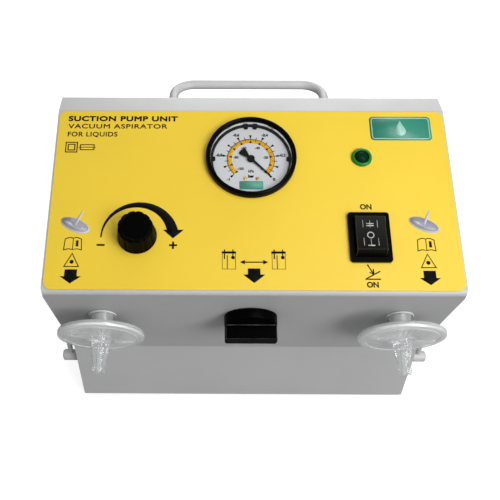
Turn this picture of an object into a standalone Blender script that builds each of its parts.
"""Surgical suction pump with a sloped control panel, built as separate parts.

Metres, +Z up, the front towards -Y. The origin is on the floor, at the centre of the overall footprint.
The casing is folded about one front edge: the control panel rises behind it, and the port face falls
back under it, at right angles to the panel. Controls are placed in two frames hung on that edge.
"""

import math

import bmesh
import bpy
from mathutils import Matrix, Vector

MM = 0.001
GAP = 0.3 * MM

# Casing: side view and sheet
WIDTH = 300 * MM
PANEL_SLOPE = math.radians(22)
PANEL_LENGTH = 152.5 * MM
TOP_FLAT = 23.2 * MM
PORT_FACE_LENGTH = 131.9 * MM
BASE_FRONT_HEIGHT = 74.4 * MM
SHEET = 1.5 * MM
REAR_SHEET = 1.5 * MM
FLANGE = 18 * MM
BEND_RADIUS = 4 * MM
FOOT_HEIGHT = 7 * MM

# Control panel: places as across, up the slope
GAUGE_AT = (-0.5 * MM, 109.3 * MM)
REGULATOR_AT = (-83.8 * MM, 43.9 * MM)
LAMP_AT = (83.1 * MM, 110 * MM)
SWITCH_AT = (83.8 * MM, 43.2 * MM)
OVERLAY_THICKNESS = 0.4 * MM
OVERLAY_MARGIN_X = 1.3 * MM
OVERLAY_LOWER, OVERLAY_UPPER = 2.6 * MM, 151.6 * MM
OVERLAY_TOP = GAP + OVERLAY_THICKNESS

# Port face: distances down from the front edge
PORT_X = 112.5 * MM
PORT_DOWN = 44.5 * MM
SELECTOR_DOWN = 48.5 * MM

# Rear panel: places as across, up from the floor
INLET_AT = (92 * MM, 50 * MM)
FUSE_DRAWER_AT = (92 * MM, 38 * MM)
PEDAL_SOCKET_AT = (52 * MM, 50 * MM)
VENTS, VENT_PITCH, VENT_SIZE = 9, 9 * MM, (70 * MM, 4 * MM)
VENT_X, LOWEST_VENT = -62 * MM, 92 * MM

GAUGE_RADIUS = 34.2 * MM
GAUGE_BODY_RADIUS = 30.6 * MM
GAUGE_PROUD = 6.4 * MM
GAUGE_LIP_RADIUS = 30.8 * MM
DIAL_RADIUS = 29.1 * MM
DIAL_DEPTH = 1.2 * MM
POINTER_REST = math.radians(-45)

KNOB_RADIUS, KNOB_TOP_RADIUS, KNOB_HEIGHT, KNOB_FLUTES = 14.3 * MM, 12.5 * MM, 16 * MM, 12
LAMP_RADIUS, LENS_RADIUS = 7.8 * MM, 5.2 * MM
SWITCH_WIDTH, SWITCH_LENGTH, SWITCH_FRAME = 30 * MM, 39.6 * MM, 3 * MM
ROCKER_WIDTH, ROCKER_HALF_LENGTH, ROCKER_TOP = 21.8 * MM, 13.5 * MM, 8.4 * MM
SELECTOR_RADIUS, SELECTOR_DISC, SELECTOR_HEIGHT = 20.2 * MM, 8 * MM, 20 * MM

FILTER_RADIUS = 32.3 * MM
FILTER_RIM_UPPER, FILTER_RIM_LOWER = 14.7 * MM, 19.3 * MM
FILTER_REACH = 46 * MM
NOZZLE_END_RADIUS = 4.3 * MM

HOOK_BACK, HOOK_DOWN = 60.2 * MM, 149.2 * MM
HOOK_REACH, HOOK_RADIUS, HOOK_PIN_RADIUS, HOOK_PIN_RISE = 14.7 * MM, 5 * MM, 2.2 * MM, 26 * MM

HANDLE_HALF_WIDTH, HANDLE_REACH, HANDLE_DROP = 61.75 * MM, 31.9 * MM, 10 * MM
HANDLE_ROD, HANDLE_BEND = 3.7 * MM, 17 * MM

# Pump unit, on a bracket over the base plate
CRANK_RADIUS = 5.5 * MM
CRANK_PIN_RADIUS = 3.5 * MM
SHAFT_RADIUS = 4 * MM
ROTOR_RADIUS = 23 * MM
STATOR_RADIUS, STATOR_BORE = 38 * MM, 23.6 * MM
CYLINDER_RADIUS, CYLINDER_BORE = 22 * MM, 18 * MM
CYLINDER_TOP = 70 * MM
PISTON_LOW, PISTON_HIGH = 44 * MM, 52 * MM
MOTOR_START, MOTOR_END = -74 * MM, -4 * MM
CRANK_X, CRANKCASE_X = 32 * MM, 30 * MM
PUMP_ABOVE_BASE = 55.5 * MM

# Side view, worked out from the lengths above, relative to the front edge
SLOPE_COS, SLOPE_SIN = math.cos(PANEL_SLOPE), math.sin(PANEL_SLOPE)
PANEL_BACK, PANEL_RISE = PANEL_LENGTH * SLOPE_COS, PANEL_LENGTH * SLOPE_SIN
DEPTH = PANEL_BACK + TOP_FLAT
BASE_SETBACK, BASE_DROP = PORT_FACE_LENGTH * SLOPE_SIN, PORT_FACE_LENGTH * SLOPE_COS
FULL_DROP = BASE_DROP + BASE_FRONT_HEIGHT
CASING_BACK = DEPTH - REAR_SHEET - GAP
CASING_BOTTOM = FULL_DROP - SHEET - GAP

# The front edge is set so that the overall footprint is centred on the origin
NOZZLE_FRONT = (PORT_DOWN * SLOPE_SIN - FILTER_REACH * SLOPE_COS
                - NOZZLE_END_RADIUS * SLOPE_SIN)
HANDLE_BACK = DEPTH + HANDLE_REACH + HANDLE_ROD
EDGE_Y = -(NOZZLE_FRONT + HANDLE_BACK) / 2
EDGE_Z = FULL_DROP + FOOT_HEIGHT
PUMP_Y = EDGE_Y + 105 * MM
PUMP_Z = FOOT_HEIGHT + SHEET + PUMP_ABOVE_BASE


def clear_scene():
    for thing in list(bpy.data.objects):
        bpy.data.objects.remove(thing, do_unlink=True)


clear_scene()
PARTS = bpy.data.collections.new("suction_pump")
CUTTERS = bpy.data.collections.new("cutters")
for collection in (PARTS, CUTTERS):
    bpy.context.scene.collection.children.link(collection)


# ---------------------------------------------------------------- materials

def finish(name, colour, roughness, metallic=0.0, alpha=1.0):
    material = bpy.data.materials.new(name)
    material.use_nodes = True
    shader = material.node_tree.nodes["Principled BSDF"]
    shader.inputs["Base Color"].default_value = (*colour, 1.0)
    shader.inputs["Roughness"].default_value = roughness
    shader.inputs["Metallic"].default_value = metallic
    shader.inputs["Alpha"].default_value = alpha
    return material


PAINT = finish("grey_paint", (0.60, 0.60, 0.61), 0.45)
YELLOW = finish("yellow_film", (0.88, 0.62, 0.07), 0.35)
BLACK = finish("black_plastic", (0.012, 0.012, 0.012), 0.30)
RUBBER = finish("black_rubber", (0.03, 0.03, 0.03), 0.85)
STEEL = finish("plated_steel", (0.62, 0.62, 0.64), 0.30, 1.0)
ALUMINIUM = finish("cast_aluminium", (0.55, 0.56, 0.58), 0.50, 1.0)
BRASS = finish("brass", (0.75, 0.55, 0.22), 0.30, 1.0)
WHITE = finish("white_enamel", (0.85, 0.86, 0.88), 0.45)
CLEAR = finish("clear_window", (0.95, 0.97, 0.98), 0.05, 0.0, 0.25)
HAZY = finish("hazy_plastic", (0.80, 0.83, 0.82), 0.25, 0.0, 0.6)
GREEN = finish("green_bezel", (0.02, 0.42, 0.08), 0.30)
GREEN_LENS = finish("green_lens", (0.01, 0.12, 0.03), 0.10)
MEMBRANE = finish("membrane_white", (0.90, 0.90, 0.88), 0.90)
HOSE = finish("silicone_hose", (0.78, 0.78, 0.74), 0.50)
COPPER = finish("motor_core", (0.30, 0.30, 0.32), 0.50, 1.0)


# ---------------------------------------------------------------- frames

def empty(name, location, rotation=(0, 0, 0)):
    frame = bpy.data.objects.new(name, None)
    frame.location, frame.rotation_euler = location, rotation
    PARTS.objects.link(frame)
    return frame


RIGHT_ANGLE = math.radians(90)
EDGE = empty("edge_frame", (0, EDGE_Y, EDGE_Z))
# X across, Y up the panel, Z out of it
PANEL = empty("panel_frame", (0, EDGE_Y, EDGE_Z), (PANEL_SLOPE, 0, 0))
# X across, Y up the port face towards the front edge, Z out of it
PORT_FACE = empty("port_face_frame", (0, EDGE_Y, EDGE_Z), (PANEL_SLOPE + RIGHT_ANGLE, 0, 0))
# X across, Y back, Z up from the floor
FLOOR = empty("floor_frame", (0, 0, 0))
# X along the shaft, Y back, Z up along the cylinder
CRANKSHAFT = empty("crankshaft_frame", (0, PUMP_Y, PUMP_Z))

TURN_Z_TO_X = (0, RIGHT_ANGLE, 0)
TURN_Z_TO_BACK = (-RIGHT_ANGLE, 0, 0)
TURN_SIDE_VIEW = (RIGHT_ANGLE, 0, RIGHT_ANGLE)


# ---------------------------------------------------------------- shapes

def placed(name, mesh, material, frame, location=(0, 0, 0), rotation=(0, 0, 0)):
    """A part, or a cutter when it has no material."""
    thing = bpy.data.objects.new(name, mesh)
    thing.parent = frame
    thing.location, thing.rotation_euler = location, rotation
    if material is None:
        CUTTERS.objects.link(thing)
        thing.hide_render = True
        thing.display_type = "WIRE"
    else:
        PARTS.objects.link(thing)
        mesh.materials.append(material)
    return thing


def smooth(mesh):
    mesh.shade_smooth()
    mesh.set_sharp_from_angle(angle=math.radians(35))
    return mesh


def mesh_of(cage, name):
    mesh = bpy.data.meshes.new(name)
    cage.to_mesh(mesh)
    cage.free()
    return mesh


def block(name, size, centre=(0, 0, 0)):
    cage = bmesh.new()
    matrix = Matrix.Translation(centre) @ Matrix.Diagonal((*size, 1))
    bmesh.ops.create_cube(cage, size=1, matrix=matrix)
    return mesh_of(cage, name)


def cylinder(name, radius, low, high, sides=24):
    cage = bmesh.new()
    matrix = Matrix.Translation((0, 0, (low + high) / 2))
    bmesh.ops.create_cone(cage, cap_ends=True, segments=sides, radius1=radius, radius2=radius,
                          depth=high - low, matrix=matrix)
    return smooth(mesh_of(cage, name))


def turned(name, profile, material, frame, location=(0, 0, 0), rotation=(0, 0, 0), sides=24):
    """A profile of (radius, height) points turned about Z, ordered to run down its outer side."""
    area = sum(a[0] * b[1] - b[0] * a[1] for a, b in zip(profile, profile[1:] + profile[:1]))
    points = profile[::-1] if area > 0 else profile
    solid = points[0][0] == 0 or points[-1][0] == 0
    if solid:
        while not (points[0][0] == 0 and points[-1][0] == 0):
            points = points[1:] + points[:1]
    mesh = bpy.data.meshes.new(name)
    edges = [(i, i + 1) for i in range(len(points) - 1)]
    if not solid:
        edges.append((len(points) - 1, 0))
    mesh.from_pydata([(radius, 0, height) for radius, height in points], edges, [])
    thing = placed(name, mesh, material, frame, location, rotation)
    screw = thing.modifiers.new("turn", "SCREW")
    screw.steps = screw.render_steps = sides
    screw.use_merge_vertices = True
    screw.merge_threshold = 0.01 * MM
    return thing


def from_curve(name, curve):
    """The curve's solid as a mesh, with its caps welded on."""
    guide = bpy.data.objects.new(name + "_guide", curve)
    CUTTERS.objects.link(guide)
    view = bpy.context.evaluated_depsgraph_get()
    mesh = bpy.data.meshes.new_from_object(guide.evaluated_get(view))
    bpy.data.objects.remove(guide, do_unlink=True)
    cage = bmesh.new()
    cage.from_mesh(mesh)
    bmesh.ops.remove_doubles(cage, verts=cage.verts, dist=0.01 * MM)
    bmesh.ops.recalc_face_normals(cage, faces=cage.faces)
    cage.to_mesh(mesh)
    cage.free()
    mesh.name = name
    return smooth(mesh)


def plate(name, outline, thickness):
    """A flat outline of (x, y) points, filled and given a thickness about its own plane."""
    curve = bpy.data.curves.new(name, "CURVE")
    curve.dimensions = "2D"
    curve.fill_mode = "BOTH"
    curve.extrude = thickness / 2
    spline = curve.splines.new("POLY")
    spline.points.add(len(outline) - 1)
    for point, (x, y) in zip(spline.points, outline):
        point.co = (x, y, 0, 1)
    spline.use_cyclic_u = True
    return from_curve(name, curve)


def rod(name, points, radius, roundness=2, closed=False):
    curve = bpy.data.curves.new(name, "CURVE")
    curve.dimensions = "3D"
    curve.bevel_depth = radius
    curve.bevel_resolution = roundness
    curve.use_fill_caps = not closed
    spline = curve.splines.new("POLY")
    spline.points.add(len(points) - 1)
    for point, at in zip(spline.points, points):
        point.co = (*at, 1)
    spline.use_cyclic_u = closed
    return from_curve(name, curve)


def cut(part, *cutters):
    for cutter in cutters:
        boolean = part.modifiers.new("cut", "BOOLEAN")
        boolean.operation = "DIFFERENCE"
        boolean.object = cutter


def fuse(part, *pieces):
    for piece in pieces:
        boolean = part.modifiers.new("fuse", "BOOLEAN")
        boolean.operation = "UNION"
        boolean.object = piece


def soften(part, width, segments=2):
    bevel = part.modifiers.new("soften", "BEVEL")
    bevel.width = width
    bevel.segments = segments
    bevel.limit_method = "ANGLE"
    bevel.angle_limit = math.radians(40)


# ---------------------------------------------------------------- outlines

def arc(centre, radius, start, end, steps):
    turn = (end - start) / steps
    return [(centre[0] + radius * math.cos(start + turn * i),
             centre[1] + radius * math.sin(start + turn * i)) for i in range(steps + 1)]


def inset(outline, distance):
    """An anticlockwise outline moved inwards by a distance on every side."""
    points = [Vector(point) for point in outline]
    result = []
    for before, here, after in zip(points[-1:] + points[:-1], points, points[1:] + points[:1]):
        along, onward = (here - before).normalized(), (after - here).normalized()
        normal, next_normal = Vector((-along.y, along.x)), Vector((-onward.y, onward.x))
        corner = (normal + next_normal) / (1 + normal.dot(next_normal))
        result.append(tuple(here + corner * distance))
    return result


def rounded(outline, radius, steps=4, sharp=()):
    """The outline with every corner, but for the sharp ones, made an arc."""
    points = [Vector(point) for point in outline]
    result = []
    for i, here in enumerate(points):
        if i in sharp:
            result.append(tuple(here))
            continue
        before, after = points[i - 1], points[(i + 1) % len(points)]
        back, onward = (before - here).normalized(), (after - here).normalized()
        half = back.angle(onward) / 2
        centre = here + (back + onward).normalized() * radius / math.sin(half)
        start = here + back * radius / math.tan(half) - centre
        turn = start.angle_signed(here + onward * radius / math.tan(half) - centre)
        for k in range(steps + 1):
            spoke = Matrix.Rotation(-turn * k / steps, 2) @ start
            result.append(tuple(centre + spoke))
    return result


def rectangle(width, length, centre=(0, 0)):
    x, y = width / 2, length / 2
    return [(centre[0] + dx, centre[1] + dy) for dx, dy in ((-x, -y), (x, -y), (x, y), (-x, y))]


def side_view():
    """The casing's side outline, back and up from the front edge, anticlockwise seen from +X."""
    return [(0, 0), (BASE_SETBACK, -BASE_DROP), (BASE_SETBACK, -CASING_BOTTOM),
            (CASING_BACK, -CASING_BOTTOM), (CASING_BACK, PANEL_RISE), (PANEL_BACK, PANEL_RISE)]


# ---------------------------------------------------------------- casing

def panel_cutters():
    """The openings that the controls pass through, in the panel and in its overlay alike."""
    low, high = -8 * MM, 8 * MM
    cutters = []
    for name, at, radius, sides in (("gauge_hole", GAUGE_AT, GAUGE_BODY_RADIUS + 0.4 * MM, 32),
                                    ("regulator_hole", REGULATOR_AT, 5.5 * MM, 16),
                                    ("lamp_hole", LAMP_AT, 6.3 * MM, 16)):
        cutters.append(placed(name, cylinder(name, radius, low, high, sides), None, PANEL,
                              (*at, 0)))
    window = block("switch_hole", (27.6 * MM, 34 * MM, high - low))
    cutters.append(placed("switch_hole", window, None, PANEL, (*SWITCH_AT, 0)))
    return cutters


def port_face_cutters():
    cutters = []
    for name, x, down, radius in (("selector_hole", 0, SELECTOR_DOWN, 6.5 * MM),
                                  ("left_port_hole", -PORT_X, PORT_DOWN, 6 * MM),
                                  ("right_port_hole", PORT_X, PORT_DOWN, 6 * MM)):
        mesh = cylinder(name, radius, -8 * MM, 8 * MM, 16)
        cutters.append(placed(name, mesh, None, PORT_FACE, (x, -down, 0)))
    return cutters


def rear_screw_places():
    x = WIDTH / 2 - 9 * MM
    low, high = FOOT_HEIGHT + 14 * MM, EDGE_Z + PANEL_RISE - 9 * MM
    return {"rear_screw_lower_left": (-x, low), "rear_screw_lower_right": (x, low),
            "rear_screw_upper_left": (-x, high), "rear_screw_upper_right": (x, high)}


def rear_cutters():
    """Screw and handle holes through the rear panel and the casing's rear flange."""
    places = [(x, z, 1.8 * MM) for x, z in rear_screw_places().values()]
    handle_z = EDGE_Z + PANEL_RISE - HANDLE_DROP
    places += [(side * HANDLE_HALF_WIDTH, handle_z, HANDLE_ROD + 0.4 * MM) for side in (-1, 1)]
    cutters = []
    for i, (x, z, radius) in enumerate(places):
        name = f"rear_hole_{i}"
        cutters.append(placed(name, cylinder(name, radius, -8 * MM, 8 * MM, 12), None, FLOOR,
                              (x, EDGE_Y + DEPTH, z), TURN_Z_TO_BACK))
    return cutters


def casing_cover(openings, rear_holes):
    outer = plate("casing_cover", rounded(side_view(), BEND_RADIUS, sharp=(2, 3)), WIDTH)
    casing = placed("casing_cover", outer, PAINT, EDGE, rotation=TURN_SIDE_VIEW)
    soften(casing, 1.2 * MM)
    hollow = rounded(inset(side_view(), SHEET), BEND_RADIUS - SHEET, 3, sharp=(1, 2, 3))
    inner = placed("casing_hollow", plate("casing_hollow", hollow, WIDTH - 2 * SHEET), None, EDGE,
                   rotation=TURN_SIDE_VIEW)
    rear_height = PANEL_RISE + CASING_BOTTOM - 2 * FLANGE
    rear = block("rear_window", (WIDTH - 2 * FLANGE, 20 * MM, rear_height),
                 (0, CASING_BACK, (PANEL_RISE - CASING_BOTTOM) / 2))
    bottom_depth = CASING_BACK - BASE_SETBACK - 2 * FLANGE
    bottom = block("bottom_window", (WIDTH - 2 * FLANGE, bottom_depth, 20 * MM),
                   (0, (CASING_BACK + BASE_SETBACK) / 2, -CASING_BOTTOM))
    windows = [placed("rear_window", rear, None, EDGE), placed("bottom_window", bottom, None, EDGE)]
    hooks = placed("hook_holes", cylinder("hook_holes", 2.9 * MM, -WIDTH, WIDTH, 12), None, EDGE,
                   (0, HOOK_BACK, -HOOK_DOWN), TURN_Z_TO_X)
    cut(casing, inner, *windows, hooks, *openings, *rear_holes)


def panel_overlay(openings):
    outline = rounded(rectangle(WIDTH - 2 * OVERLAY_MARGIN_X, OVERLAY_UPPER - OVERLAY_LOWER,
                                (0, (OVERLAY_UPPER + OVERLAY_LOWER) / 2)), 6 * MM)
    mesh = plate("panel_overlay", outline, OVERLAY_THICKNESS)
    overlay = placed("panel_overlay", mesh, YELLOW, PANEL, (0, 0, GAP + OVERLAY_THICKNESS / 2))
    cut(overlay, *openings)


def rear_panel(rear_holes):
    low, high = FOOT_HEIGHT + 1 * MM, EDGE_Z + PANEL_RISE - BEND_RADIUS - GAP
    mesh = block("rear_panel", (WIDTH - 2 * MM, REAR_SHEET, high - low))
    panel = placed("rear_panel", mesh, PAINT, FLOOR,
                   (0, EDGE_Y + DEPTH - REAR_SHEET / 2, (low + high) / 2))
    cut(panel, *rear_holes)
    for i in range(VENTS):
        slot = block(f"vent_{i}", (VENT_SIZE[0], 8 * MM, VENT_SIZE[1]))
        place = (VENT_X, EDGE_Y + DEPTH, LOWEST_VENT + i * VENT_PITCH)
        cut(panel, placed(f"vent_{i}", slot, None, FLOOR, place))
    for name, (x, z), size in (("inlet_hole", INLET_AT, (28 * MM, 8 * MM, 42 * MM)),
                               ("pedal_hole", PEDAL_SOCKET_AT, (13.2 * MM, 8 * MM, 13.2 * MM))):
        cut(panel, placed(name, block(name, size), None, FLOOR, (x, EDGE_Y + DEPTH, z)))


FOOT_PLACES = {
    f"foot_{end}_{side}": (sign * (WIDTH / 2 - 22 * MM), EDGE_Y + back)
    for end, back in (("front", BASE_SETBACK + 25 * MM), ("rear", CASING_BACK - 25 * MM))
    for side, sign in (("left", -1), ("right", 1))
}


def base_plate():
    depth = CASING_BACK - BASE_SETBACK - 1.5 * MM
    mesh = block("base_plate", (WIDTH - 1.5 * MM, depth, SHEET))
    middle = EDGE_Y + BASE_SETBACK + 1 * MM + depth / 2
    base = placed("base_plate", mesh, PAINT, FLOOR, (0, middle, FOOT_HEIGHT + SHEET / 2))
    for x, y in FOOT_PLACES.values():
        hole = cylinder("foot_hole", 2.9 * MM, 0, 20 * MM, 12)
        cut(base, placed("foot_hole", hole, None, FLOOR, (x, y, 0)))


def feet():
    """Rubber feet: a tapered disc under the base plate, with a stem pressed up through its hole."""
    under = FOOT_HEIGHT - GAP
    stem_top = FOOT_HEIGHT + SHEET + 3 * MM
    profile = [(0, 0), (8 * MM, 0), (9 * MM, under), (2.5 * MM, under), (2.5 * MM, stem_top),
               (0, stem_top)]
    for name, (x, y) in FOOT_PLACES.items():
        turned(name, profile, RUBBER, FLOOR, (x, y, 0), sides=16)


def carry_handle():
    """A bent rod whose two legs pass through the rear panel and end in nuts behind it."""
    z = EDGE_Z + PANEL_RISE - HANDLE_DROP
    inside, outside = EDGE_Y + DEPTH - 14 * MM, EDGE_Y + DEPTH + HANDLE_REACH
    corner = (HANDLE_HALF_WIDTH - HANDLE_BEND, outside - HANDLE_BEND)
    right = [(HANDLE_HALF_WIDTH, inside)] + arc(corner, HANDLE_BEND, 0, RIGHT_ANGLE, 5)
    points = [(x, y, z) for x, y in right] + [(-x, y, z) for x, y in reversed(right)]
    placed("carry_handle", rod("carry_handle", points, HANDLE_ROD, 3), PAINT, FLOOR)
    for side, sign in (("left", -1), ("right", 1)):
        name = f"handle_nut_{side}"
        nut = placed(name, cylinder(name, 7.5 * MM, 0, 5 * MM, 6), STEEL, FLOOR,
                     (sign * HANDLE_HALF_WIDTH, EDGE_Y + CASING_BACK - SHEET - 6 * MM, z),
                     TURN_Z_TO_BACK)
        bore = cylinder("nut_bore", HANDLE_ROD + 0.4 * MM, -5 * MM, 10 * MM, 12)
        cut(nut, placed("nut_bore", bore, None, nut))


def rear_screws():
    head, shank, length = 3 * MM, 1.4 * MM, 9 * MM
    profile = [(0, -length), (shank, -length), (shank, GAP), (head, GAP), (head, 1.4 * MM),
               (0.6 * head, 2.2 * MM), (0, 2.2 * MM)]
    for name, (x, z) in rear_screw_places().items():
        turned(name, profile, STEEL, FLOOR, (x, EDGE_Y + DEPTH, z), TURN_Z_TO_BACK, sides=10)


def side_hooks():
    """Pegs on the base's sides, each with an upright pin that keeps a hose from sliding off."""
    for side, sign in (("left", -1), ("right", 1)):
        name = f"hose_hook_{side}"
        tail, wall = -8 * MM, GAP
        profile = [(0, tail), (2.6 * MM, tail), (2.6 * MM, wall), (HOOK_RADIUS, wall),
                   (HOOK_RADIUS, HOOK_REACH - 1.5 * MM), (HOOK_RADIUS - 1.5 * MM, HOOK_REACH),
                   (0, HOOK_REACH)]
        turn = (0, sign * RIGHT_ANGLE, 0)
        peg = turned(name, profile, PAINT, EDGE, (sign * WIDTH / 2, HOOK_BACK, -HOOK_DOWN), turn,
                     16)
        pin = cylinder(name + "_pin", HOOK_PIN_RADIUS, 0, HOOK_PIN_RISE, 10)
        fuse(peg, placed(name + "_pin", pin, None, EDGE,
                         (sign * (WIDTH / 2 + HOOK_REACH / 2), HOOK_BACK, -HOOK_DOWN)))


# ---------------------------------------------------------------- vacuum gauge

def gauge():
    at = (*GAUGE_AT, 0)
    base, front = OVERLAY_TOP + GAP, GAUGE_PROUD
    window_top = front - 2.1 * MM
    window_bottom = window_top - 1.1 * MM
    wall = GAUGE_BODY_RADIUS - 1.2 * MM
    back = -27 * MM
    case = [(1.5 * MM, back - 15 * MM), (4.5 * MM, back - 15 * MM), (4.5 * MM, back),
            (GAUGE_BODY_RADIUS, back), (GAUGE_BODY_RADIUS, OVERLAY_TOP), (wall, OVERLAY_TOP),
            (wall, back + 1.5 * MM), (1.5 * MM, back + 1.5 * MM)]
    turned("gauge_case", case, BLACK, PANEL, at, sides=24)
    groove, lip = GAUGE_RADIUS - 1.2 * MM, GAUGE_LIP_RADIUS
    bezel = [(wall + GAP, base), (GAUGE_RADIUS, base), (GAUGE_RADIUS, front - 1.6 * MM),
             (groove, front), (lip + 1.5 * MM, front), (lip, window_top + GAP),
             (groove, window_top + GAP), (groove, window_bottom - GAP),
             (lip - GAP, window_bottom - GAP)]
    turned("gauge_bezel", bezel, BLACK, PANEL, at, sides=32)
    window = cylinder("gauge_window", groove - 0.4 * MM, window_bottom, window_top, 32)
    placed("gauge_window", window, CLEAR, PANEL, at)
    dial = [(1.5 * MM, -DIAL_DEPTH - 0.6 * MM), (DIAL_RADIUS, -DIAL_DEPTH - 0.6 * MM),
            (DIAL_RADIUS, -DIAL_DEPTH), (1.5 * MM, -DIAL_DEPTH)]
    turned("gauge_dial", dial, WHITE, PANEL, at, sides=32)
    coil = [(x, y, -14 * MM) for x, y in
            arc((0, 0), 18 * MM, math.radians(-80), math.radians(190), 10)]
    placed("bourdon_tube", rod("bourdon_tube", coil, 2.4 * MM), BRASS, PANEL, at)


def gauge_pointer():
    """A tapered needle with a spade tail, on a spindle through the dial."""
    tip, tail, hub = 20.8 * MM, 10.5 * MM, 2.9 * MM
    outline = [(tip, 0), (hub, 0.9 * MM), (-hub, 0.9 * MM), (-tail + 1.5 * MM, 3.4 * MM),
               (-tail, 0), (-tail + 1.5 * MM, -3.4 * MM), (-hub, -0.9 * MM), (hub, -0.9 * MM)]
    mesh = plate("gauge_pointer", outline[::-1], 0.5 * MM)
    height = 0.3 * MM
    pointer = placed("gauge_pointer", mesh, BLACK, PANEL, (*GAUGE_AT, height),
                     (0, 0, POINTER_REST))
    boss = turned("pointer_hub", [(0, -9 * MM), (1 * MM, -9 * MM), (1 * MM, -0.9 * MM),
                                  (hub, -0.9 * MM), (hub, 0.9 * MM), (0, 1.2 * MM)],
                  None, PANEL, (*GAUGE_AT, height), sides=16)
    fuse(pointer, boss)


# ---------------------------------------------------------------- panel controls

def regulator():
    """A needle valve behind the panel, its spindle and its fluted knob."""
    at = (*REGULATOR_AT, 0)
    base = OVERLAY_TOP + GAP
    body = [(3.5 * MM, -34 * MM), (12 * MM, -34 * MM), (12 * MM, -6 * MM), (9.5 * MM, -3 * MM),
            (9.5 * MM, -SHEET - GAP), (3.5 * MM, -SHEET - GAP)]
    valve = turned("regulator_valve_body", body, BRASS, PANEL, at, sides=16)
    for sign in (-1, 1):
        barb = cylinder("valve_barb", 3 * MM, 8 * MM, 24 * MM, 10)
        fuse(valve, placed("valve_barb", barb, None, PANEL, (*REGULATOR_AT, -20 * MM),
                           (0, sign * RIGHT_ANGLE, 0)))
    spindle = [(0, -31 * MM), (1 * MM, -31 * MM), (3 * MM, -24 * MM), (3 * MM, 13 * MM),
               (0, 13 * MM)]
    turned("regulator_spindle", spindle, STEEL, PANEL, at, sides=12)
    profile = [(3.4 * MM, base), (KNOB_RADIUS, base), (KNOB_TOP_RADIUS, base + KNOB_HEIGHT - MM),
               (KNOB_TOP_RADIUS - 1 * MM, base + KNOB_HEIGHT), (0, base + KNOB_HEIGHT),
               (0, 13.5 * MM), (3.4 * MM, 13.5 * MM)]
    knob = turned("regulator_knob", profile, BLACK, PANEL, at, sides=36)
    for i in range(KNOB_FLUTES):
        turn = math.tau * i / KNOB_FLUTES
        reach = KNOB_RADIUS + 1.2 * MM
        flute = cylinder("knob_flute", 2 * MM, base + 2 * MM, base + 30 * MM, 8)
        cut(knob, placed("knob_flute", flute, None, PANEL,
                         (REGULATOR_AT[0] + reach * math.cos(turn),
                          REGULATOR_AT[1] + reach * math.sin(turn), 0)))


def pilot_lamp():
    at = (*LAMP_AT, 0)
    base = OVERLAY_TOP + GAP
    bore = LENS_RADIUS + 0.4 * MM
    bezel = [(5 * MM, -20 * MM), (6 * MM, -20 * MM), (6 * MM, base), (LAMP_RADIUS, base),
             (LAMP_RADIUS, base + 0.8 * MM), (LAMP_RADIUS - 0.9 * MM, base + 1.9 * MM),
             (bore, base + 1.9 * MM), (bore, -2 * MM), (5 * MM, -2 * MM)]
    turned("pilot_lamp_bezel", bezel, GREEN, PANEL, at)
    lens = [(0, -1.7 * MM), (LENS_RADIUS, -1.7 * MM), (LENS_RADIUS, 2.2 * MM),
            (4.3 * MM, 3.2 * MM), (2.4 * MM, 3.8 * MM), (0, 4 * MM)]
    turned("pilot_lamp_lens", lens, GREEN_LENS, PANEL, at, sides=20)


def power_switch():
    """A three-position rocker: off in the middle, and on at both ends."""
    base = OVERLAY_TOP + GAP
    at = (*SWITCH_AT, 0)
    frame = rounded(rectangle(SWITCH_WIDTH, SWITCH_LENGTH), 1.5 * MM, 3)
    housing = placed("switch_housing", plate("switch_housing", frame, SWITCH_FRAME - base), BLACK,
                     PANEL, (*SWITCH_AT, (SWITCH_FRAME + base) / 2))
    body = block("switch_body", (27 * MM, 33.2 * MM, 28 * MM), (0, 0, -12.5 * MM))
    fuse(housing, placed("switch_body", body, None, PANEL, at))
    well_floor = -9 * MM
    size = (ROCKER_WIDTH + 0.8 * MM, 31 * MM, 24 * MM)
    well = block("switch_well", size, (0, 0, well_floor + 12 * MM))
    cut(housing, placed("switch_well", well, None, PANEL, at))
    half = ROCKER_HALF_LENGTH
    outline = [(-9 * MM, -6 * MM), (9 * MM, -6 * MM), (14.6 * MM, -1 * MM), (14.4 * MM, 3 * MM),
               (half + 0.3 * MM, ROCKER_TOP - 0.6 * MM), (half - 0.5 * MM, ROCKER_TOP),
               (0, ROCKER_TOP - 1 * MM),
               (-half + 0.5 * MM, ROCKER_TOP), (-half - 0.3 * MM, ROCKER_TOP - 0.6 * MM),
               (-14.4 * MM, 3 * MM), (-14.6 * MM, -1 * MM)]
    placed("switch_rocker", plate("switch_rocker", outline, ROCKER_WIDTH), BLACK, PANEL, at,
           TURN_SIDE_VIEW)


# ---------------------------------------------------------------- port face

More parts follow.
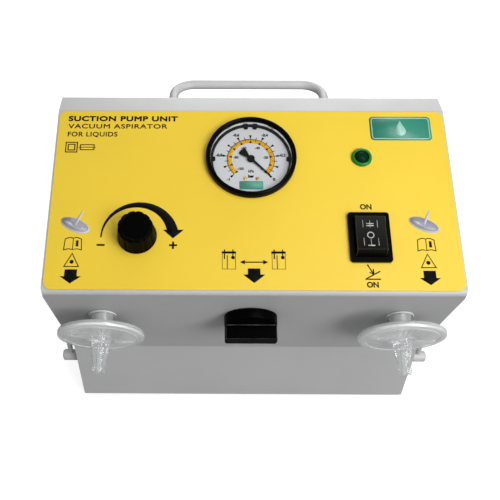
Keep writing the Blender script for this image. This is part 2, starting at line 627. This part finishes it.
def selector():
    """The changeover tap: a bar-grip knob, its rotor and the valve body behind the sheet."""
    at = (0, -SELECTOR_DOWN, 0)
    grip_end = SELECTOR_RADIUS - 1 * MM
    profile = [(4 * MM, 2 * GAP), (SELECTOR_RADIUS, 2 * GAP), (SELECTOR_RADIUS, SELECTOR_DISC - MM),
               (SELECTOR_RADIUS - 1 * MM, SELECTOR_DISC), (0, SELECTOR_DISC), (0, 6 * MM),
               (4 * MM, 6 * MM)]
    knob = turned("selector_knob", profile, BLACK, PORT_FACE, at, sides=32)
    half = math.asin(6.5 * MM / grip_end)
    outline = (arc((0, 0), grip_end, -half, half, 4)
               + arc((0, 0), grip_end, math.pi - half, math.pi + half, 4))
    height = SELECTOR_HEIGHT - SELECTOR_DISC + 1 * MM
    grip = placed("selector_grip", plate("selector_grip", outline, height), None, PORT_FACE,
                  (0, -SELECTOR_DOWN, SELECTOR_HEIGHT - height / 2))
    soften(grip, 1 * MM, 1)
    fuse(knob, grip)
    rotor = [(0, -24 * MM), (9 * MM, -24 * MM), (9 * MM, -8 * MM), (3.6 * MM, -6 * MM),
             (3.6 * MM, 5.6 * MM), (0, 5.6 * MM)]
    turned("selector_rotor", rotor, WHITE, PORT_FACE, at, sides=20)
    body = [(9.4 * MM, -27 * MM), (16 * MM, -27 * MM), (16 * MM, -SHEET - GAP),
            (4 * MM, -SHEET - GAP), (4 * MM, -5.6 * MM), (9.4 * MM, -7.6 * MM)]
    valve = turned("selector_valve_body", body, ALUMINIUM, PORT_FACE, at, sides=20)
    for name, turn in (("left", (0, -RIGHT_ANGLE, 0)), ("right", (0, RIGHT_ANGLE, 0)),
                       ("pump", (RIGHT_ANGLE, 0, 0))):
        barb = cylinder("selector_barb", 3 * MM, 12 * MM, 28 * MM, 10)
        fuse(valve, placed(f"selector_barb_{name}", barb, None, PORT_FACE,
                           (0, -SELECTOR_DOWN, -16 * MM), turn))


def ports_and_filters():
    """On each side, a socket in the casing and a bacterial filter pushed into it."""
    upper, lower = FILTER_RIM_UPPER, FILTER_RIM_LOWER
    seam = (upper + lower) / 2
    tip = FILTER_REACH
    port = [(2.5 * MM, -16 * MM), (4 * MM, -16 * MM), (4 * MM, -10 * MM), (5.6 * MM, -8 * MM),
            (5.6 * MM, GAP), (10.3 * MM, GAP), (10.3 * MM, 1.2 * MM), (7.3 * MM, 1.6 * MM),
            (7.3 * MM, upper - 3 * MM), (5.4 * MM, upper - 3 * MM), (5.4 * MM, 1 * MM),
            (2.5 * MM, 1 * MM)]
    casing_side = [(3.2 * MM, 2 * MM), (5 * MM, 2 * MM), (5 * MM, upper - 1 * MM),
                   (FILTER_RADIUS - 1 * MM, upper), (FILTER_RADIUS, upper + 0.8 * MM),
                   (FILTER_RADIUS, seam - GAP / 2), (29.8 * MM, seam - GAP / 2),
                   (29.8 * MM, upper + 1.4 * MM), (3.2 * MM, upper)]
    hose_side = [(29.8 * MM, seam + GAP / 2), (FILTER_RADIUS, seam + GAP / 2),
                 (FILTER_RADIUS, lower - 0.8 * MM), (FILTER_RADIUS - 1 * MM, lower),
                 (9 * MM, lower + 1.2 * MM), (7 * MM, lower + 3 * MM), (5.3 * MM, tip - 11 * MM),
                 (5.9 * MM, tip - 9 * MM), (NOZZLE_END_RADIUS, tip), (2.6 * MM, tip),
                 (2.6 * MM, lower), (29.8 * MM, lower - 1.4 * MM)]
    for side, sign in (("left", -1), ("right", 1)):
        at = (sign * PORT_X, -PORT_DOWN, 0)
        turned(f"port_{side}", port, HAZY, PORT_FACE, at, sides=12)
        turned(f"filter_{side}_casing_side", casing_side, HAZY, PORT_FACE, at, sides=24)
        turned(f"filter_{side}_hose_side", hose_side, HAZY, PORT_FACE, at, sides=24)
        disc = cylinder("membrane", 29 * MM, seam - 0.4 * MM, seam + 0.4 * MM, 20)
        placed(f"filter_{side}_membrane", disc, MEMBRANE, PORT_FACE, at)


# ---------------------------------------------------------------- pump unit

def pump_mounts():
    """Four rubber bushes between the base plate and the pump's bracket."""
    low, high = FOOT_HEIGHT + SHEET + GAP, PUMP_Z - STATOR_RADIUS - 4 * MM
    for end, y in (("front", -30 * MM), ("rear", 30 * MM)):
        for side, x in (("left", -66 * MM), ("right", 52 * MM)):
            name = f"vibration_mount_{end}_{side}"
            placed(name, cylinder(name, 7 * MM, low, high, 12), RUBBER, FLOOR, (x, PUMP_Y + y, 0))
    bracket = block("pump_bracket", (148 * MM, 84 * MM, 2 * MM), (-8 * MM, 0, high + 1.3 * MM))
    placed("pump_bracket", bracket, STEEL, FLOOR, (0, PUMP_Y, 0))


def motor():
    start, end = MOTOR_START, MOTOR_END
    foot_low = -STATOR_RADIUS - 1.4 * MM
    stator = turned("motor_stator", [(STATOR_BORE, start), (STATOR_RADIUS, start),
                                     (STATOR_RADIUS, end), (STATOR_BORE, end)],
                    ALUMINIUM, CRANKSHAFT, rotation=TURN_Z_TO_X, sides=28)
    feet = block("motor_feet", (end - start - 10 * MM, 56 * MM, 12 * MM),
                 ((start + end) / 2, 0, foot_low + 6 * MM))
    fuse(stator, placed("motor_feet", feet, None, CRANKSHAFT))
    low, high = start - 24 * MM, CRANK_X - 12 * MM
    rotor = [(0, low), (SHAFT_RADIUS, low), (SHAFT_RADIUS, start + 5 * MM),
             (ROTOR_RADIUS, start + 5 * MM), (ROTOR_RADIUS, end - 5 * MM),
             (SHAFT_RADIUS, end - 5 * MM), (SHAFT_RADIUS, high), (0, high)]
    turned("motor_rotor", rotor, COPPER, CRANKSHAFT, rotation=TURN_Z_TO_X, sides=20)


def cooling_fan():
    """A bladed wheel on the rear end of the shaft."""
    blades, tip, root = 8, 30 * MM, 12 * MM
    outline = []
    for i in range(blades):
        turn = math.tau * i / blades
        for radius, lead in ((root, 0.0), (tip, 0.12), (tip, 0.42), (root, 0.46)):
            outline.append((radius * math.cos(turn + lead), radius * math.sin(turn + lead)))
    fan = placed("cooling_fan", plate("cooling_fan", outline, 9 * MM), BLACK, CRANKSHAFT,
                 (MOTOR_START - 16 * MM, 0, 0), TURN_Z_TO_X)
    bore = cylinder("fan_bore", SHAFT_RADIUS + GAP, -20 * MM, 20 * MM, 20)
    cut(fan, placed("fan_bore", bore, None, fan))


def crank():
    """An eccentric on the shaft's front end. Its pin points back at rest, at mid-stroke."""
    high = CRANK_X - 12 * MM
    disc = [(0, high - 8 * MM), (13 * MM, high - 8 * MM), (13 * MM, high + 3 * MM),
            (0, high + 3 * MM)]
    crank_web = turned("crank", disc, STEEL, CRANKSHAFT, rotation=TURN_Z_TO_X, sides=24)
    pin = cylinder("crank_pin", CRANK_PIN_RADIUS, high, CRANK_X + 6 * MM, 14)
    fuse(crank_web, placed("crank_pin", pin, None, CRANKSHAFT, (0, CRANK_RADIUS, 0), TURN_Z_TO_X))
    bore = cylinder("crank_bore", SHAFT_RADIUS + GAP, high - 20 * MM, high + GAP, 20)
    cut(crank_web, placed("crank_bore", bore, None, CRANKSHAFT, rotation=TURN_Z_TO_X))


def crankcase():
    """A casting open at the front, with the cylinder standing on it."""
    bottom, top = -39.4 * MM, 30 * MM
    size = (46 * MM, 58 * MM, top - bottom)
    casting = placed("crankcase", block("crankcase", size, (CRANKCASE_X, 0, (top + bottom) / 2)),
                     ALUMINIUM, CRANKSHAFT)
    barrel = cylinder("cylinder_barrel", CYLINDER_RADIUS, top - 2 * MM, CYLINDER_TOP, 24)
    fuse(casting, placed("cylinder_barrel", barrel, None, CRANKSHAFT, (CRANK_X, 0, 0)))
    chamber = block("crank_chamber", (46 * MM, 50 * MM, 58 * MM), (CRANKCASE_X + 5 * MM, 0, -3 * MM))
    bore = cylinder("cylinder_bore", CYLINDER_BORE, 0, CYLINDER_TOP + 5 * MM, 24)
    shaft = cylinder("shaft_hole", SHAFT_RADIUS + 1 * MM, -10 * MM, CRANK_X - 13 * MM, 14)
    cut(casting, placed("crank_chamber", chamber, None, CRANKSHAFT),
        placed("cylinder_bore", bore, None, CRANKSHAFT, (CRANK_X, 0, 0)),
        placed("shaft_hole", shaft, None, CRANKSHAFT, rotation=TURN_Z_TO_X))


def piston():
    """Piston and rod in one. The window round the crank pin is wide enough for its whole orbit."""
    crown = CYLINDER_BORE - 0.4 * MM
    part = placed("piston", cylinder("piston", crown, PISTON_LOW, PISTON_HIGH, 24), ALUMINIUM,
                  CRANKSHAFT, (CRANK_X, 0, 0))
    stem = block("piston_stem", (7 * MM, 10 * MM, 28 * MM), (0, 0, 31 * MM))
    yoke = block("piston_yoke", (7 * MM, 27 * MM, 38 * MM))
    fuse(part, placed("piston_yoke", yoke, None, CRANKSHAFT, (CRANK_X, 0, 0)),
         placed("piston_stem", stem, None, CRANKSHAFT, (CRANK_X, 0, 0)))
    window = block("piston_window", (20 * MM, 20 * MM, 31 * MM))
    cut(part, placed("piston_window", window, None, CRANKSHAFT, (CRANK_X, 0, 0)))


def cylinder_head():
    base = CYLINDER_TOP + GAP
    head = placed("cylinder_head", block("cylinder_head", (48 * MM, 48 * MM, 14 * MM),
                                         (CRANK_X, 0, base + 7 * MM)), ALUMINIUM, CRANKSHAFT)
    for name, y, rise in (("inlet_barb", -13 * MM, 14 * MM), ("outlet_barb", 13 * MM, 8 * MM)):
        barb = cylinder(name, 3 * MM, base + 10 * MM, base + 14 * MM + rise, 10)
        fuse(head, placed(name, barb, None, CRANKSHAFT, (CRANK_X, y, 0)))
    low = base + 14 * MM + GAP
    silencer = [(3.4 * MM, low), (9 * MM, low), (9 * MM, low + 34 * MM), (3.4 * MM, low + 34 * MM)]
    turned("exhaust_silencer", silencer, BLACK, CRANKSHAFT, (CRANK_X, 13 * MM, 0), sides=16)


# ---------------------------------------------------------------- hoses and sockets

def hose(name, points, frame):
    """A hose whose two ends stop short of the barbs' ends, so that it keeps clear of them."""
    placed(name, rod(name, points, 4 * MM), HOSE, frame)


def hoses():
    side_end, barb_end = 16 * MM + 1 * MM, 28 * MM + 1 * MM
    depth = -16 * MM
    for side, sign in (("left", -1), ("right", 1)):
        points = [(sign * barb_end, -SELECTOR_DOWN, depth),
                  (sign * 70 * MM, -SELECTOR_DOWN, depth),
                  (sign * 98 * MM, -SELECTOR_DOWN + 2 * MM, -24 * MM),
                  (sign * (PORT_X - 5 * MM), -PORT_DOWN, -26 * MM),
                  (sign * PORT_X, -PORT_DOWN, -24 * MM),
                  (sign * PORT_X, -PORT_DOWN, -side_end)]
        hose(f"hose_{side}", points, PORT_FACE)


def pump_hose():
    """From the selector's pump barb to the cylinder head's inlet."""
    outward = Matrix.Rotation(PANEL_SLOPE + RIGHT_ANGLE, 4, "X")
    start = Matrix.Translation((0, EDGE_Y, EDGE_Z)) @ outward @ Vector(
        (0, -SELECTOR_DOWN - 29 * MM, -16 * MM))
    inlet = Vector((CRANK_X, PUMP_Y - 13 * MM, PUMP_Z + CYLINDER_TOP + GAP + 29 * MM))
    down = outward.to_3x3() @ Vector((0, -1, 0))
    points = [start, start + down * 6 * MM, start + Vector((12 * MM, 8 * MM, -4 * MM)),
              inlet + Vector((-8 * MM, -8 * MM, 12 * MM)), inlet + Vector((0, 0, 10 * MM)), inlet]
    hose("hose_pump", points, FLOOR)


def sockets():
    """The mains inlet with its fuse drawer, and the foot-switch socket, in the rear panel."""
    rear = EDGE_Y + DEPTH
    (inlet_x, inlet_z), (drawer_x, drawer_z) = INLET_AT, FUSE_DRAWER_AT
    flange = block("mains_inlet", (32 * MM, 2.4 * MM, 48 * MM), (0, 1.5 * MM, 0))
    inlet = placed("mains_inlet", flange, BLACK, FLOOR, (inlet_x, rear, inlet_z))
    body = block("inlet_body", (27.2 * MM, 26 * MM, 41.2 * MM), (0, -11.5 * MM, 0))
    well = block("inlet_well", (20 * MM, 40 * MM, 15 * MM), (0, 6 * MM, 8 * MM))
    drawer_well = block("drawer_well", (22 * MM, 40 * MM, 9.6 * MM), (0, 6 * MM, -12 * MM))
    fuse(inlet, placed("inlet_body", body, None, inlet))
    cut(inlet, placed("inlet_well", well, None, inlet),
        placed("drawer_well", drawer_well, None, inlet))
    drawer = block("fuse_drawer", (21.2 * MM, 16 * MM, 8.8 * MM), (0, -4.6 * MM, 0))
    placed("fuse_drawer", drawer, BLACK, FLOOR, (drawer_x, rear, drawer_z))
    socket = [(0, -18 * MM), (6 * MM, -18 * MM), (6 * MM, GAP), (9 * MM, GAP), (9 * MM, 3 * MM),
              (5.5 * MM, 3 * MM), (5.5 * MM, -8 * MM), (0, -8 * MM)]
    pedal_x, pedal_z = PEDAL_SOCKET_AT
    turned("pedal_socket", socket, BLACK, FLOOR, (pedal_x, rear, pedal_z), TURN_Z_TO_BACK, 20)


def build():
    openings = panel_cutters()
    rear_holes = rear_cutters()
    casing_cover(openings + port_face_cutters(), rear_holes)
    panel_overlay(openings)
    rear_panel(rear_holes)
    base_plate()
    feet()
    carry_handle()
    rear_screws()
    side_hooks()
    gauge()
    gauge_pointer()
    regulator()
    pilot_lamp()
    power_switch()
    selector()
    ports_and_filters()
    pump_mounts()
    motor()
    cooling_fan()
    crank()
    crankcase()
    piston()
    cylinder_head()
    hoses()
    pump_hose()
    sockets()


build()
